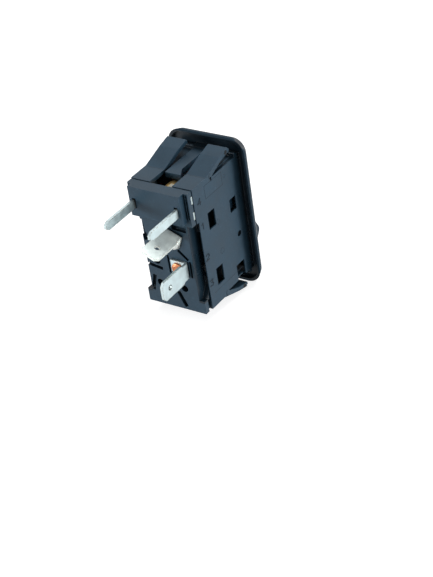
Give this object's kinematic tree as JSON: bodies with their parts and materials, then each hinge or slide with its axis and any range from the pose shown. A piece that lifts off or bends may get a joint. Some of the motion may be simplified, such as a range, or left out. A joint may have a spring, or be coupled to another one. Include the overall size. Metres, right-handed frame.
{
  "type": "panel rocker switch",
  "caption": "Illuminated snap-in panel rocker switch with an oblong bezel, sprung side arms and flat push-on terminals.",
  "frame": {"origin": "centre of the plane on which the bezel's rim seats on the panel", "axes": "+Y runs back through the panel to the blades, +Z along the long side towards the lamp, the rocker faces -Y"},
  "size_m": [0.027, 0.0503, 0.05],
  "materials": {
    "black_plastic": "satin moulded, blue-black",
    "lens": "clear dyed, moulded",
    "cream_plastic": "natural nylon",
    "tinned_brass": "tin plated, edges worn",
    "brass": "plain strip",
    "copper": "upset rivet",
    "silver": "turned contact",
    "steel": "drawn wire",
    "glass": "clear"
  },
  "bodies": {
    "body": {"housing": "black_plastic", "terminal_base": "black_plastic", "indicator_lens": "lens", "pivot_pin": "steel", "fixed_contact": "silver", "fulcrum_bracket": "brass", "load_rivet": "copper", "supply_rivet": "copper", "load_terminal": "tinned_brass", "supply_terminal": "tinned_brass", "lamp_terminal_left": "tinned_brass", "lamp_terminal_right": "tinned_brass", "cap_contact_spring": "brass", "tip_contact_spring": "brass", "bulb_cap": "brass", "bulb_glass": "glass", "bulb_holder": "cream_plastic"},
    "rocker": {"rocker": "black_plastic", "plunger_spring": "steel"},
    "plunger": {"plunger": "cream_plastic"},
    "contact": {"contact_lever": "brass", "moving_contact": "silver"}
  },
  "joints": [
    {"name": "rocker_tilt", "type": "hinge", "parent": "body", "child": "rocker", "pos_m": [0, 0.0037, -0.005], "axis": [1, 0, 0], "range_deg": [0, 24]},
    {"name": "plunger_slide", "type": "slide", "parent": "rocker", "child": "plunger", "axis": [0, 0.9781, -0.2079], "range_m": [-0.0009, 0], "stiffness_N_per_m": 250, "springref_m": 0.002, "deforming": ["plunger_spring"]},
    {"name": "contact_tilt", "type": "hinge", "parent": "body", "child": "contact", "pos_m": [-0.0031, 0.01805, -0.005], "axis": [1, 0, 0], "range_deg": [-12, 0]}
  ],
  "couplings": [
    {"joint": "contact_tilt", "follows": "rocker_tilt", "ratio": -0.5}
  ]
}
